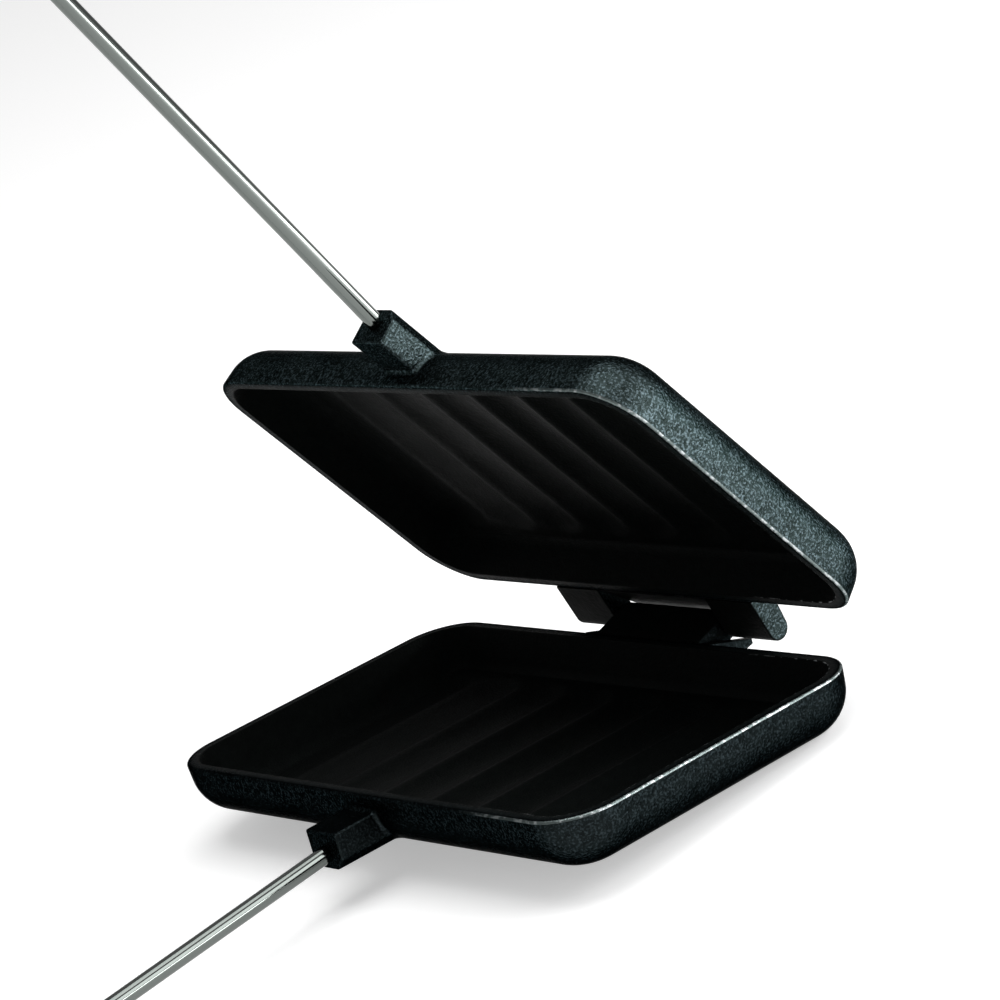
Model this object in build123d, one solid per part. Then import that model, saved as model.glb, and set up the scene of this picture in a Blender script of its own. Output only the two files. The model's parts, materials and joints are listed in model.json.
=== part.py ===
from build123d import *
from math import asin, atan2, cos, degrees, hypot, pi, radians, sin, sqrt, tan
import os

# A double pie iron: two shallow cast-iron pans hinged along one long side, each with a chrome-plated steel
# rod and a turned wooden grip. Everything is first drawn as the closed iron, in the frame of the head:
# X runs across the two toasting places, Y points to the hinge, and Z = 0 is the plane where the rims meet.
# At the end the upper half is swung open and the whole iron is laid down as it rests on a table.
# All sizes are in millimetres and degrees.

# head
HEAD_WIDTH = 241.0
HEAD_DEPTH = 142.0
HALF_HEIGHT = 22.5
CORNER_RADIUS = 21.5
WALL_DRAFT = 5.0
EDGE_RADIUS = 17.0
RIM_LAND = 4.6
RIM_ROUND = 1.0
RIM_GAP = 0.2

# toasting cavity
CAVITY_DEPTH = 16.0
CAVITY_DRAFT = 15.0
CAVITY_ROUND = 9.0
FLUTE_COUNT = 8
FLUTE_PITCH = 28.2
FLUTE_DEPTH = 2.8
FLUTE_RADIUS = 33.5
FLUTE_STRAIGHT = 87.2
FLUTE_SPARE = 0.4
CAVITY_SPARE = 1.0

# hinge
HINGE_BACK = 17.4
BARREL_RADIUS = 4.7
LUG_HALF_WIDTH = 29.2
EAR_INNER = 30.7
EAR_OUTER = 56.0
WEB_FOOT = 13.0
WEB_CLEAR = 0.6
WEB_ROOT = 4.0
WEB_SINK = 0.8
APRON_CLEAR = 0.8
APRON_PAST = 2.6
APRON_EDGE = 2.0
APRON_OUTER = 36.0
APRON_GAP = 0.5
APRON_IN_EAR = 0.5
LUG_ROUND = 0.6
PIN_DIAMETER = 4.76
PIN_PLAY = 0.05
PIN_BLIND_END = 50.0
PIN_RECESS = 0.6
PIN_END_GAP = 0.4
PIN_CHAMFER = 0.4
PIN_HOLE_SPARE = 1.0

# socket on the front wall
SOCKET_LENGTH = 18.0
SOCKET_WIDTH = 18.0
SOCKET_NEAR = 6.3
SOCKET_FAR = 20.7
SOCKET_CHAMFER = 4.4
SOCKET_ROUND = 1.1
SOCKET_ROOT = 14.0
SOCKET_ROOT_ROUND = 1.8

# rod
ROD_DIAMETER = 6.35
ROD_SPLAY = 6.25
ROD_AT_WALL = 12.9
ROD_SEAT = 3.0
ROD_HOLE_SPARE = 0.8
ROD_TIP_CHAMFER = 0.6

# grip, measured along the rod
OVERALL_LENGTH = 711.0
GRIP_LENGTH = 128.0
GRIP_BORE_DEPTH = 88.0
GRIP_NECK_RADIUS = 9.6
GRIP_NECK_FLARE = 0.3
GRIP_BELLY_RADIUS = 14.2
GRIP_BELLY_AT = 64.0
GRIP_WAIST_RADIUS = 11.8
GRIP_WAIST_AT = 105.0
KNOB_RADIUS = 15.2
KNOB_ROUND = 7.5
FERRULE_LENGTH = 17.0
FERRULE_MOUTH_RADIUS = 7.6
FERRULE_WALL = 0.9
FERRULE_LIP = 0.8
FERRULE_BEVEL = 1.5
GRIP_PIN_DIAMETER = 3.0
GRIP_PIN_AT = 10.0
GRIP_PIN_PROUD = 0.6
GRIP_PIN_CHAMFER = 0.35

# pose in which the iron is stored and shown
OPEN_ANGLE = 53.8


def rim_outline(inset, height):
    """The rounded outline of the head, drawn in by inset, at the given height."""
    outline = RectangleRounded(
        HEAD_WIDTH - 2 * inset, HEAD_DEPTH - 2 * inset, CORNER_RADIUS - inset
    )
    return Pos(0, 0, height) * outline


def drafted_block(inset, top, bottom, draft):
    """A block under the rim outline whose walls lean in by the draft angle."""
    lean = (top - bottom) * tan(radians(draft))
    sections = [rim_outline(inset, top), rim_outline(inset + lean, bottom)]
    return loft(sections, ruled=True)


def pan_body():
    """The outside of one pan, rim up: drafted walls, a generous bottom edge and a softened rim."""
    body = drafted_block(0, -RIM_GAP / 2, -HALF_HEIGHT, WALL_DRAFT)
    bottom = body.faces().sort_by(Axis.Z)[0]
    body = fillet(bottom.edges(), EDGE_RADIUS)
    rim = body.faces().sort_by(Axis.Z)[-1]
    return fillet(rim.edges(), RIM_ROUND)


def flute_half_width(rise):
    """Half the width of a flute at a given height above the cavity floor."""
    return sqrt(FLUTE_RADIUS**2 - (FLUTE_RADIUS - FLUTE_DEPTH - rise) ** 2)


def flute_rise():
    """The arc from a flute's lowest line up to its edge, as (distance outwards, height)."""
    bottom = -CAVITY_DEPTH - FLUTE_DEPTH
    half = flute_half_width(FLUTE_SPARE)
    lean = asin(half / FLUTE_RADIUS) / 2
    between = (FLUTE_RADIUS * sin(lean), bottom + FLUTE_RADIUS * (1 - cos(lean)))
    return ThreePointArc((0, bottom), between, (half, FLUTE_SPARE - CAVITY_DEPTH))


def flute_profile(straight):
    """A flute's outline seen from the side: flat for the given length, with an arc rising at each end."""
    top = FLUTE_SPARE - CAVITY_DEPTH
    bottom = -CAVITY_DEPTH - FLUTE_DEPTH
    far = Pos(straight / 2, 0) * flute_rise()
    near = mirror(far, about=Plane.YZ)
    reach = straight / 2 + flute_half_width(FLUTE_SPARE)
    lid = Line((reach, top), (-reach, top))
    if straight == 0:
        return make_face([near, far, lid])
    return make_face([near, Line((-straight / 2, bottom), (straight / 2, bottom)), far, lid])


def flute():
    """The cutter for one wide shallow groove from front to back, with a round bottom and round ends."""
    top = FLUTE_SPARE - CAVITY_DEPTH
    bottom = -CAVITY_DEPTH - FLUTE_DEPTH
    reach = flute_half_width(FLUTE_SPARE)
    quarter = make_face([flute_rise(), Line((reach, top), (0, top)), Line((0, top), (0, bottom))])
    trough = extrude(Plane.XZ * flute_profile(0), amount=FLUTE_STRAIGHT / 2, both=True)
    round_end = revolve(Plane.XZ * quarter, Axis.Z, revolution_arc=180)
    far_end = Pos(0, FLUTE_STRAIGHT / 2, 0) * round_end
    near_end = Pos(0, -FLUTE_STRAIGHT / 2, 0) * Rot(0, 0, 180) * round_end
    return trough + far_end + near_end


def crests():
    """The ridges between the flutes, and the ledge at their ends. The outer flutes run on to the walls."""
    outermost = (FLUTE_COUNT - 1) / 2 * FLUTE_PITCH
    thickness = FLUTE_DEPTH + CAVITY_SPARE
    plate = Pos(0, 0, -CAVITY_DEPTH - thickness / 2) * Box(HEAD_WIDTH, HEAD_DEPTH, thickness)
    groove = flute()
    for n in range(FLUTE_COUNT):
        plate -= Pos(n * FLUTE_PITCH - outermost, 0, 0) * groove
    run_on = extrude(Plane.YZ * flute_profile(FLUTE_STRAIGHT), amount=HEAD_WIDTH / 2)
    plate -= Pos(outermost, 0, 0) * run_on
    return plate - Pos(-outermost, 0, 0) * mirror(run_on, about=Plane.YZ)


def cavity():
    """The cutter for the space for the bread: it stands a little above the rim and has a rounded foot."""
    floor = -CAVITY_DEPTH - FLUTE_DEPTH - FLUTE_SPARE
    space = drafted_block(RIM_LAND, CAVITY_SPARE, floor, CAVITY_DRAFT)
    lowest = space.faces().sort_by(Axis.Z)[0]
    return fillet(lowest.edges(), CAVITY_ROUND) - crests()


def rod_frame():
    """The rod's own frame: origin on the axis at the front wall, Z along the rod away from the head."""
    origin = (0, -HEAD_DEPTH / 2, -ROD_AT_WALL)
    direction = (0, -cos(radians(ROD_SPLAY)), -sin(radians(ROD_SPLAY)))
    return Plane(origin=origin, x_dir=(1, 0, 0), z_dir=direction)


def socket():
    """The block on the front wall that holds the rod: flat on the rim side, chamfered on the other."""
    half = SOCKET_WIDTH / 2
    section = Polyline(
        (-half, -SOCKET_NEAR),
        (half, -SOCKET_NEAR),
        (half, SOCKET_CHAMFER - SOCKET_FAR),
        (half - SOCKET_CHAMFER, -SOCKET_FAR),
        (SOCKET_CHAMFER - half, -SOCKET_FAR),
        (-half, SOCKET_CHAMFER - SOCKET_FAR),
        close=True,
    )
    front = Plane(origin=(0, -HEAD_DEPTH / 2 - SOCKET_LENGTH, 0), x_dir=(1, 0, 0), z_dir=(0, -1, 0))
    block = extrude(front * make_face(section), amount=-(SOCKET_LENGTH + SOCKET_ROOT))
    nose = block.faces().sort_by(Axis.Y)[0]
    long_edges = block.edges().filter_by(Axis.Y)
    return fillet(nose.edges() + long_edges, SOCKET_ROUND)


def socket_hole():
    """The blind hole for the rod, a little deeper than the rod goes."""
    depth = ROD_SEAT + ROD_HOLE_SPARE
    length = depth + 2 * SOCKET_LENGTH
    hole = Cylinder(ROD_DIAMETER / 2, length, align=(Align.CENTER, Align.CENTER, Align.MIN))
    return rod_frame() * Pos(0, 0, -depth) * hole


def web_foot():
    """Where the underside of a hinge web meets the wall, from the hinge axis."""
    return -HINGE_BACK - WEB_FOOT * tan(radians(WALL_DRAFT)), -WEB_FOOT


def web_top():
    """The top of a web: the point nearest the wall, and the one where it runs into the barrel."""
    reach = HINGE_BACK - WEB_CLEAR
    turn = asin(BARREL_RADIUS / hypot(reach, RIM_GAP))
    return (-reach, -RIM_GAP), (-BARREL_RADIUS * sin(turn), BARREL_RADIUS * cos(turn))


def web_underside():
    """Where the underside of a web runs into the barrel."""
    foot_y, foot_z = web_foot()
    turn = atan2(foot_z, foot_y) + pi - asin(BARREL_RADIUS / hypot(foot_y, foot_z))
    return BARREL_RADIUS * sin(turn), -BARREL_RADIUS * cos(turn)


def behind_wall(x_low, x_high, section):
    """A section drawn from the hinge axis, pulled out between two places along it."""
    side = Plane(origin=(x_low, HEAD_DEPTH / 2 + HINGE_BACK, 0), x_dir=(0, 1, 0), z_dir=(1, 0, 0))
    return extrude(side * section, amount=x_high - x_low)


def lug(x_low, x_high):
    """A hinge lug below the rim plane: a barrel on the hinge axis and the web that ties it to the wall."""
    near_wall, touch_top = web_top()
    foot = web_foot()
    web = Polyline(
        near_wall,
        touch_top,
        web_underside(),
        foot,
        (foot[0] - WEB_ROOT, foot[1]),
        (-HINGE_BACK - WEB_ROOT, -WEB_SINK),
        (near_wall[0], -WEB_SINK),
        close=True,
    )
    piece = behind_wall(x_low, x_high, make_face(web) + Circle(BARREL_RADIUS))
    return fillet(piece.faces().filter_by(Axis.X).edges(), LUG_ROUND)


def apron(x_low, x_high):
    """The ledge under the other half's lug: a wedge from the wall to just past the pin."""
    near_wall, touch_top = web_top()
    foot = web_foot()
    fall = (near_wall[1] - touch_top[1]) / (touch_top[0] - near_wall[0])
    start = -near_wall[1] - APRON_CLEAR
    tip = start + fall * (APRON_PAST - near_wall[0])
    wedge = Polyline(
        (near_wall[0], start),
        (APRON_PAST, tip),
        (APRON_PAST, tip - APRON_EDGE),
        foot,
        (foot[0] - WEB_ROOT, foot[1]),
        (-HINGE_BACK - WEB_ROOT, -WEB_SINK),
        (near_wall[0], -WEB_SINK),
        close=True,
    )
    return behind_wall(x_low, x_high, make_face(wedge))


def pin_hole(x_low, x_high, diameter):
    """The cutter for a length of the hole for the hinge pin."""
    hole = Rot(0, 90, 0) * Cylinder(diameter / 2, x_high - x_low)
    return Pos((x_low + x_high) / 2, HEAD_DEPTH / 2 + HINGE_BACK, 0) * hole


def pan(hinge_pieces, pin_holes):
    """One casting, rim up: body, socket and hinge pieces as one piece of iron, with its bores."""
    body = pan_body()
    block = socket()
    blank = body + block
    blank = fillet(new_edges(body, block, combined=blank), SOCKET_ROOT_ROUND)
    for piece in hinge_pieces:
        blank += piece
    for cutter in [cavity(), socket_hole(), *pin_holes]:
        blank -= cutter
    return blank


def build_lower_pan():
    reach = LUG_HALF_WIDTH + PIN_HOLE_SPARE
    apron_inner = EAR_INNER + APRON_IN_EAR + APRON_GAP
    hinge_pieces = [
        apron(-APRON_OUTER, -apron_inner),
        apron(apron_inner, APRON_OUTER),
        lug(-LUG_HALF_WIDTH, LUG_HALF_WIDTH),
    ]
    return pan(hinge_pieces, [pin_hole(-reach, reach, PIN_DIAMETER)])


def build_upper_pan():
    """The upper casting is the lower one turned over, with two ears beside the lower half's lug."""
    running = PIN_DIAMETER + 2 * PIN_PLAY
    apron_reach = EAR_INNER + APRON_IN_EAR
    hinge_pieces = [
        apron(-apron_reach, apron_reach),
        lug(-EAR_OUTER, -EAR_INNER),
        lug(EAR_INNER, EAR_OUTER),
    ]
    through = pin_hole(-EAR_OUTER - PIN_HOLE_SPARE, -EAR_INNER + PIN_HOLE_SPARE, running)
    blind = pin_hole(EAR_INNER - PIN_HOLE_SPARE, PIN_BLIND_END, running)
    return mirror(pan(hinge_pieces, [through, blind]), about=Plane.XY)


def build_hinge_pin():
    left = -EAR_OUTER + PIN_RECESS
    right = PIN_BLIND_END - PIN_END_GAP
    pin = Rot(0, 90, 0) * Cylinder(PIN_DIAMETER / 2, right - left)
    pin = chamfer(pin.edges().filter_by(GeomType.CIRCLE), PIN_CHAMFER)
    return Pos((left + right) / 2, HEAD_DEPTH / 2 + HINGE_BACK, 0) * pin


def grip_start():
    """Where the grip begins along the rod, so that the closed iron has its overall length."""
    back = HEAD_DEPTH / 2 + HINGE_BACK + BARREL_RADIUS
    front = OVERALL_LENGTH - back - HEAD_DEPTH / 2
    return front / cos(radians(ROD_SPLAY)) - GRIP_LENGTH


def build_rod():
    length = ROD_SEAT + grip_start() + GRIP_BORE_DEPTH
    rod = Cylinder(ROD_DIAMETER / 2, length, align=(Align.CENTER, Align.CENTER, Align.MIN))
    rod = chamfer(rod.edges().filter_by(GeomType.CIRCLE), ROD_TIP_CHAMFER)
    return rod_frame() * Pos(0, 0, -ROD_SEAT) * (rod - grip_pin_blank(ROD_SEAT))


def grip_pin_blank(offset):
    """The cross pin through ferrule, wood and rod, at its place along a rod that starts offset earlier."""
    at = offset + grip_start() + GRIP_PIN_AT
    length = 2 * (FERRULE_MOUTH_RADIUS + FERRULE_WALL + GRIP_PIN_PROUD)
    return Pos(0, 0, at) * Rot(0, 90, 0) * Cylinder(GRIP_PIN_DIAMETER / 2, length)


def turned(profile, start):
    """A round piece turned about the rod from a closed outline of (radius, distance along the rod)."""
    face = Plane.XZ * make_face(profile)
    return Pos(0, 0, start) * revolve(face, Axis.Z)


def knob_centre():
    """The middle of the round of the knob: its distance from the rod and from the grip's start."""
    return KNOB_RADIUS - KNOB_ROUND, GRIP_LENGTH - KNOB_ROUND


def build_grip():
    """The hardwood grip: spigot for the ferrule, neck, belly, waist and a knob at the end."""
    spigot = FERRULE_MOUTH_RADIUS
    knob_r, knob_z = knob_centre()
    outline = [
        Line((0, 0), (spigot, 0)),
        Line((spigot, 0), (spigot, FERRULE_LENGTH)),
        Line((spigot, FERRULE_LENGTH), (GRIP_NECK_RADIUS, FERRULE_LENGTH)),
        Spline(
            (GRIP_NECK_RADIUS, FERRULE_LENGTH),
            (GRIP_BELLY_RADIUS, GRIP_BELLY_AT),
            (GRIP_WAIST_RADIUS, GRIP_WAIST_AT),
            (KNOB_RADIUS, knob_z),
            tangents=[(GRIP_NECK_FLARE, 1), (0, 1)],
        ),
        RadiusArc((KNOB_RADIUS, knob_z), (knob_r, GRIP_LENGTH), -KNOB_ROUND),
        Line((knob_r, GRIP_LENGTH), (0, GRIP_LENGTH)),
        Line((0, GRIP_LENGTH), (0, 0)),
    ]
    wood = turned(outline, grip_start())
    bore = Pos(0, 0, grip_start()) * Cylinder(
        ROD_DIAMETER / 2, GRIP_BORE_DEPTH, align=(Align.CENTER, Align.CENTER, Align.MIN)
    )
    return rod_frame() * (wood - bore - grip_pin_blank(0))


def build_ferrule():
    """The drawn steel cup on the spigot, with a hole for the rod in its end."""
    inner = FERRULE_MOUTH_RADIUS
    outer = inner + FERRULE_WALL
    hole = ROD_DIAMETER / 2
    outline = Polyline(
        (hole, -FERRULE_LIP),
        (outer - FERRULE_BEVEL, -FERRULE_LIP),
        (outer, FERRULE_BEVEL - FERRULE_LIP),
        (outer, FERRULE_LENGTH),
        (inner, FERRULE_LENGTH),
        (inner, 0),
        (hole, 0),
        close=True,
    )
    cup = turned(outline, grip_start())
    return rod_frame() * (cup - grip_pin_blank(0))


def build_grip_pin():
    pin = grip_pin_blank(0)
    return rod_frame() * chamfer(pin.edges().filter_by(GeomType.CIRCLE), GRIP_PIN_CHAMFER)


def rest_tilt():
    """How far the head is tipped when the knob and the pan's rear bottom edge both lie on the table."""
    inset = EDGE_RADIUS / cos(radians(WALL_DRAFT)) + (HALF_HEIGHT - EDGE_RADIUS) * tan(radians(WALL_DRAFT))
    rear = (HEAD_DEPTH / 2 - inset, EDGE_RADIUS - HALF_HEIGHT)
    knob_r, knob_z = knob_centre()
    along = grip_start() + knob_z
    splay = radians(ROD_SPLAY)
    knob = (
        -HEAD_DEPTH / 2 - along * cos(splay) + knob_r * sin(splay),
        -ROD_AT_WALL - along * sin(splay) - knob_r * cos(splay),
    )
    run = rear[0] - knob[0]
    rise = rear[1] - knob[1]
    return degrees(atan2(rise, run) - asin((EDGE_RADIUS - KNOB_ROUND) / hypot(run, rise)))


def swing_open(piece):
    """Turns a piece of the closed upper half about the hinge pin."""
    axis = Axis((0, HEAD_DEPTH / 2 + HINGE_BACK, 0), (1, 0, 0))
    return piece.rotate(axis, -OPEN_ANGLE)


def upper(piece):
    """The upper half's copy of a piece of the lower half, swung open."""
    return swing_open(mirror(piece, about=Plane.XY))


def build_nodes():
    rod = build_rod()
    ferrule = build_ferrule()
    grip = build_grip()
    grip_pin = build_grip_pin()
    return {
        "lower_pan": build_lower_pan(),
        "upper_pan": swing_open(build_upper_pan()),
        "hinge_pin": build_hinge_pin(),
        "lower_rod": rod,
        "upper_rod": upper(rod),
        "lower_ferrule": ferrule,
        "upper_ferrule": upper(ferrule),
        "lower_grip": grip,
        "upper_grip": upper(grip),
        "lower_grip_pin": grip_pin,
        "upper_grip_pin": upper(grip_pin),
    }


def lay_down(nodes):
    """Tips the iron into its resting pose, its lowest point at Z = 0 and its box centred in X and Y."""
    tilt = rest_tilt()
    tipped = {name: piece.rotate(Axis.X, -tilt) for name, piece in nodes.items()}
    boxes = [piece.bounding_box() for piece in tipped.values()]
    middle = (min(box.min.Y for box in boxes) + max(box.max.Y for box in boxes)) / 2
    lowest = min(box.min.Z for box in boxes)
    reach = HEAD_DEPTH / 2 + HINGE_BACK
    print(f"head tipped by {tilt:.4f} degrees, then moved by y {-middle:.4f}, z {-lowest:.4f}")
    hinge_y = reach * cos(radians(tilt)) - middle
    hinge_z = -reach * sin(radians(tilt)) - lowest
    print(f"hinge axis at y {hinge_y:.4f}, z {hinge_z:.4f}")
    return {name: Pos(0, -middle, -lowest) * piece for name, piece in tipped.items()}


os.makedirs("parts", exist_ok=True)
for node, shape in lay_down(build_nodes()).items():
    export_step(shape, f"parts/{node}.step")
    print(node, round(shape.volume))
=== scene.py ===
# %% [markdown]
# # An open pie iron, dressed for a studio shot
#
# A pie iron toasts filled bread over a fire. It is two shallow cast-iron pans that share a hinge, and
# each pan has a long rod with a wooden grip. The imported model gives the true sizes, the hinge and what
# moves with what. This notebook remodels the visible pieces on that frame, piece by piece, and gives each
# one its real finish.

# %%
import json
from math import asin, atan2, cos, degrees, hypot, pi, radians, sin, sqrt, tan

import bmesh
import bpy
from mathutils import Matrix, Vector
from mathutils.geometry import interpolate_bezier

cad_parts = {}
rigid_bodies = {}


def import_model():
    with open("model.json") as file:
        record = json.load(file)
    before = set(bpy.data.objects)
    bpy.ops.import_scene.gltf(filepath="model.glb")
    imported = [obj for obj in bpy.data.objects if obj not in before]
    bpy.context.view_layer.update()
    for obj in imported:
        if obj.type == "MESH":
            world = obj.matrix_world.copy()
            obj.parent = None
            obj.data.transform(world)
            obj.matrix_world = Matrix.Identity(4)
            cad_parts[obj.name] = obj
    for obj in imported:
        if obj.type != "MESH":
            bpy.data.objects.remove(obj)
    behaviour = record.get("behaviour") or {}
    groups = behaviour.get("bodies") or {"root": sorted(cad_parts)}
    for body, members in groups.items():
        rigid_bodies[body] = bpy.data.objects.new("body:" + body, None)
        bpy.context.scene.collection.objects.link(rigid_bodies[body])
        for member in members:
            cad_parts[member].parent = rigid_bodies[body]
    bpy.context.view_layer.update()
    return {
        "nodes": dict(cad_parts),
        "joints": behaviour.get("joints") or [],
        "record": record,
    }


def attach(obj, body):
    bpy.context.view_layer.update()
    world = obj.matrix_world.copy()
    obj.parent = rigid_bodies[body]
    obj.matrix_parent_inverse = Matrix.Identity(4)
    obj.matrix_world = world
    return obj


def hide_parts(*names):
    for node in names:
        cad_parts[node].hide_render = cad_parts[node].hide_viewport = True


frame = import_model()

print("nodes:", sorted(frame["nodes"]))

# %% [markdown]
# ## Where things are
#
# The iron is easiest to think of shut, with the rims in one level plane and the hinge at the back. So
# every piece is modelled in that frame and in millimetres: X across the head, Y towards the hinge, Z up
# from the rims. Two matrices then carry a finished piece to its place. The frame gives all that they
# need: the hinge's place and travel come from the joint, and the tilt of the head from the face that the
# iron rests on. The upper half is the lower one turned over, so its matrix flips Z first.

# %%
MM = 0.001
HEAD_WIDTH = 241.0
HEAD_DEPTH = 142.0
HINGE_BACK = 17.4

joint = frame["joints"][0]
hinge = Vector(joint["pos_m"])
open_angle = radians(-joint["range_deg"][0])
base_axis = frame["record"]["mounts"][0]["axis"]
head_tilt = atan2(-base_axis[1], -base_axis[2])
hinge_y = HEAD_DEPTH / 2 + HINGE_BACK


def place(turn, flip):
    """The matrix from a half's own frame in millimetres to its place, turned about the hinge by an angle."""
    side = Matrix.Diagonal((MM, MM, -MM if flip else MM, 1))
    to_hinge = Matrix.Translation((0, -hinge_y * MM, 0))
    return Matrix.Translation(hinge) @ Matrix.Rotation(-turn, 4, "X") @ to_hinge @ side


places = {"lower": place(head_tilt, False), "upper": place(head_tilt + open_angle, True)}
print(f"head tilted {degrees(head_tilt):.2f} degrees, opened {degrees(open_angle):.1f}")

# %% [markdown]
# ## The camera
#
# The iron is seen from its right and a little above, with the camera rolled so that the open halves lie
# across the picture. A long lens keeps the two rims almost parallel. The camera is aimed by three angles
# about a point between the halves, measured from the hinge, which is easier to adjust than a matrix.

# %%
CAMERA_AZIMUTH = 55.941
CAMERA_ELEVATION = 17.967
CAMERA_ROLL = -21.105
CAMERA_DISTANCE = 1.4857
CAMERA_AIM = Vector((0.03564, -0.0797813, 0.0927331))
CAMERA_LENS = 153.12
CAMERA_SENSOR = 36
CAMERA_SEES_TO = 50

camera_data = bpy.data.cameras.new("camera")
camera_data.sensor_width = CAMERA_SENSOR
camera_data.lens = CAMERA_LENS
camera_data.clip_end = CAMERA_SEES_TO
camera = bpy.data.objects.new("camera", camera_data)
bpy.context.scene.collection.objects.link(camera)
azimuth = radians(CAMERA_AZIMUTH)
elevation = radians(CAMERA_ELEVATION)
back = Vector((sin(azimuth) * cos(elevation), -cos(azimuth) * cos(elevation), sin(elevation)))
upright = (-back).to_track_quat("-Z", "Y").to_matrix().to_4x4()
stand = Matrix.Translation(hinge + CAMERA_AIM + back * CAMERA_DISTANCE)
camera.matrix_world = stand @ upright @ Matrix.Rotation(radians(CAMERA_ROLL), 4, "Z")
bpy.context.scene.camera = camera
bpy.context.scene.view_settings.view_transform = "Standard"
print("camera at", [round(value, 3) for value in camera.matrix_world.translation])

# %% [markdown]
# ## The rim outline
#
# Both pans are bounded by the same rounded rectangle, so it is made by one function. It starts as a
# single quad, and bevelling its four corners as vertices turns them into arcs. That keeps one flat face
# with an outline that every later inset follows.

# %%
CORNER_RADIUS = 21.5
CORNER_STEPS = 14
RIM_HEIGHT = -0.1
HEIGHT_FIRST = 1e6


def rim_face(bm):
    """One face in the outline of the rim, facing up."""
    made = bmesh.ops.create_grid(bm, x_segments=1, y_segments=1, size=0.5)
    bmesh.ops.scale(bm, vec=(HEAD_WIDTH, HEAD_DEPTH, 1), verts=made["verts"])
    bmesh.ops.translate(bm, vec=(0, 0, RIM_HEIGHT), verts=made["verts"])
    corners = list(made["verts"])
    bmesh.ops.bevel(
        bm, geom=corners, offset=CORNER_RADIUS, offset_type="OFFSET", segments=CORNER_STEPS,
        profile=0.5, affect="VERTICES", material=-1,
    )
    return max(bm.faces, key=lambda face: face.calc_center_median().z * HEIGHT_FIRST + face.calc_area())


def inset_of(x, y):
    """How far inside the rim outline a place lies, measured square to the outline."""
    over_x = abs(x) - (HEAD_WIDTH / 2 - CORNER_RADIUS)
    over_y = abs(y) - (HEAD_DEPTH / 2 - CORNER_RADIUS)
    outside = hypot(max(over_x, 0), max(over_y, 0)) + min(max(over_x, over_y), 0)
    return CORNER_RADIUS - outside


test = bmesh.new()
test_face = rim_face(test)
print("outline:", len(test.faces), "face,", len(test_face.verts), "points")
print("area", round(test_face.calc_area()))
print("farthest from the true outline:", max(abs(inset_of(v.co.x, v.co.y)) for v in test.verts))
test.free()

# %% [markdown]
# ## The outside of a pan
#
# A sand mould must let go of its pattern, so the walls lean in by a few degrees, and the bottom edge is a
# generous round that the iron can flow along. An inset with depth makes the leaning wall and the bottom
# in one step, and a bevel on the bottom's edges makes the round. A bevel's offset is the length of the
# tangent, not the radius, so it is worked out from the angle between wall and bottom.

# %%
HALF_HEIGHT = 22.5
WALL_DRAFT = 5.0
EDGE_RADIUS = 17.0
EDGE_STEPS = 14
HOLD = 0.7
SOFT_STEPS = 4
CHAMFER_STEPS = 3


def bevel_edges(bm, edges, offset, steps):
    """Rounds some edges and returns the new faces."""
    made = bmesh.ops.bevel(
        bm, geom=list(edges), offset=offset, offset_type="OFFSET", segments=steps,
        profile=0.5, affect="EDGES", material=-1, clamp_overlap=False,
    )
    return made["faces"]


def tangent_length(radius, turn):
    """How far from a corner a round of this radius starts, where the surface turns by this many degrees."""
    return radius * tan(radians(turn) / 2)


def drop_face(bm, face, depth, draft):
    """Sinks a face along its own normal, with walls that lean in by the draft angle."""
    lean = abs(depth) * tan(radians(draft))
    bmesh.ops.inset_region(
        bm, faces=[face], thickness=lean, depth=depth, use_even_offset=True, use_boundary=True,
    )
    return face


def outer_shell(bm):
    """Walls, bottom round and bottom of a pan, open at the rim."""
    face = rim_face(bm)
    face.normal_flip()
    drop_face(bm, face, HALF_HEIGHT + RIM_HEIGHT, WALL_DRAFT)
    bevel_edges(bm, face.edges, tangent_length(EDGE_RADIUS, 90 - WALL_DRAFT), EDGE_STEPS)
    bottom = max(bm.faces, key=lambda each: each.calc_area())
    bmesh.ops.inset_region(bm, faces=[bottom], thickness=HOLD, depth=0, use_even_offset=True)


test = bmesh.new()
outer_shell(test)
low_z = min(v.co.z for v in test.verts)
print("outside:", len(test.faces), "faces, lowest", round(low_z, 3))
print("bottom inset", round(max(inset_of(v.co.x, v.co.y) for v in test.verts), 2))
test.free()

# %% [markdown]
# ## The cavity
#
# Inside the flat rim land the bread sits in a shallow cavity with steeper walls. Its floor has eight wide
# grooves from front to back that press ribs into the toast. The walls are an inset and a bevel again. For
# the grooves the floor is cut into a fine grid with bisect planes, and every point is raised to the
# height that a short formula gives. A formula is simpler here than eight boolean cuts, and it lets the
# ridges be as soft as cast iron really is.

# %%
RIM_LAND = 4.9
CAVITY_DEPTH = 16.0
CAVITY_DRAFT = 15.0
CAVITY_ROUND = 9.0
CAVITY_STEPS = 9
FLUTE_COUNT = 8
FLUTE_PITCH = 28.2
FLUTE_DEPTH = 2.8
FLUTE_RADIUS = 33.5
FLUTE_STRAIGHT = 87.2
FLUTE_CUTS = 8
RIDGE_SOFTNESS = 0.7
FLOOR_BELOW = 0.4
STEEPEST = 0.9

outermost = (FLUTE_COUNT - 1) / 2 * FLUTE_PITCH
flute_half = sqrt(FLUTE_RADIUS**2 - (FLUTE_RADIUS - FLUTE_DEPTH) ** 2)
cavity_bottom = -CAVITY_DEPTH - FLUTE_DEPTH - FLOOR_BELOW


def soft_min(a, b, softness):
    """The lower of two heights, with the corner between them rounded."""
    closeness = max(softness - abs(a - b), 0) / softness
    return min(a, b) - closeness * closeness * softness / 4


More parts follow.
